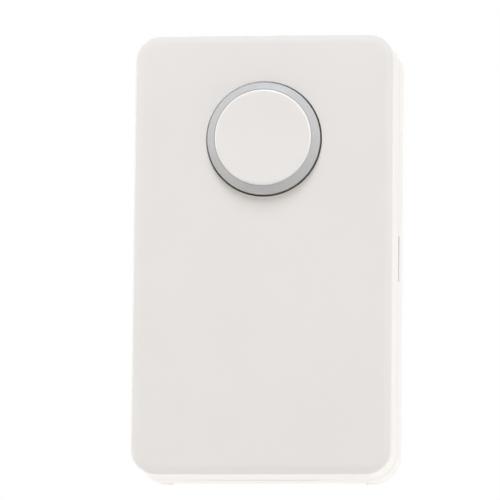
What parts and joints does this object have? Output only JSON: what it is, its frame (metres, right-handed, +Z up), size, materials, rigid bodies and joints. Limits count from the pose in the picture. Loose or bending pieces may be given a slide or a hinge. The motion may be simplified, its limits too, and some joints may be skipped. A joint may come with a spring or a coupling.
{
  "type": "smart button",
  "caption": "Upright wall-mounted wireless button: a slim rounded slab case with a large round push button near its top, hung on a dovetail wall bracket.",
  "frame": {"origin": "middle of the wall bracket's back face, which lies on the wall", "axes": "+Z up the wall, along the case's longest side; the button faces -Y and +Y points into the wall; +X is to the right as seen from the front"},
  "size_m": [0.0458, 0.0171, 0.0772],
  "materials": {
    "abs_white": "fine satin texture",
    "polycarbonate_frosted": "frosted",
    "circuit_board_green": "solder mask",
    "steel_plated": "zinc plated",
    "contact_nickel": "nickel plated spring strip",
    "nylon_black": "moulded",
    "plunger_grey": "moulded",
    "silicone_clear": "translucent",
    "reflector_white": "moulded",
    "led_epoxy": "clear lens",
    "tantalum_case": "moulded epoxy",
    "chip_tan": "fired",
    "chip_black": "glazed",
    "cell_steel": "stainless",
    "foam_grey": "open cell"
  },
  "bodies": {
    "bracket": {"wall_bracket": "abs_white"},
    "housing": {"front_cover": "abs_white", "rear_cover": "abs_white", "circuit_board": "circuit_board_green", "board_screws": "steel_plated", "switch_base": "nylon_black", "switch_dome": "contact_nickel", "switch_terminals": "contact_nickel", "return_collar": "silicone_clear", "led_reflector": "reflector_white", "status_leds": "led_epoxy", "radio_module": "circuit_board_green", "radio_shield": "steel_plated", "antenna": "contact_nickel", "crystal": "steel_plated", "reservoir_capacitor": "tantalum_case", "chip_capacitors": "chip_tan", "chip_resistors": "chip_black", "battery_holder": "nylon_black", "positive_contact": "contact_nickel", "negative_contact": "contact_nickel"},
    "button": {"button_cap": "abs_white", "light_ring": "polycarbonate_frosted"},
    "plunger": {"switch_plunger": "plunger_grey"},
    "door": {"battery_door": "abs_white", "door_screws": "steel_plated", "cell_pad": "foam_grey"},
    "cell": {"coin_cell": "cell_steel"}
  },
  "joints": [
    {"name": "housing_slide", "type": "slide", "parent": "bracket", "child": "housing", "axis": [0, 0, 1], "range_m": [0, 0.036]},
    {"name": "button_press", "type": "slide", "parent": "housing", "child": "button", "axis": [0, 1, 0], "range_m": [0, 0.0005], "stiffness_N_per_m": 1500, "springref_m": -0.0006, "deforming": ["return_collar"]},
    {"name": "plunger_press", "type": "slide", "parent": "housing", "child": "plunger", "axis": [0, 1, 0], "range_m": [0, 0.0005], "deforming": ["switch_dome"]},
    {"name": "door_release", "type": "slide", "parent": "housing", "child": "door", "axis": [0, 1, 0], "range_m": [0, 0.024]},
    {"name": "cell_release", "type": "slide", "parent": "housing", "child": "cell", "axis": [0, 1, 0], "range_m": [0, 0.012]}
  ],
  "couplings": [
    {"joint": "plunger_press", "follows": "button_press", "ratio": 1},
    {"joint": "cell_release", "follows": "door_release", "ratio": 0.5}
  ]
}
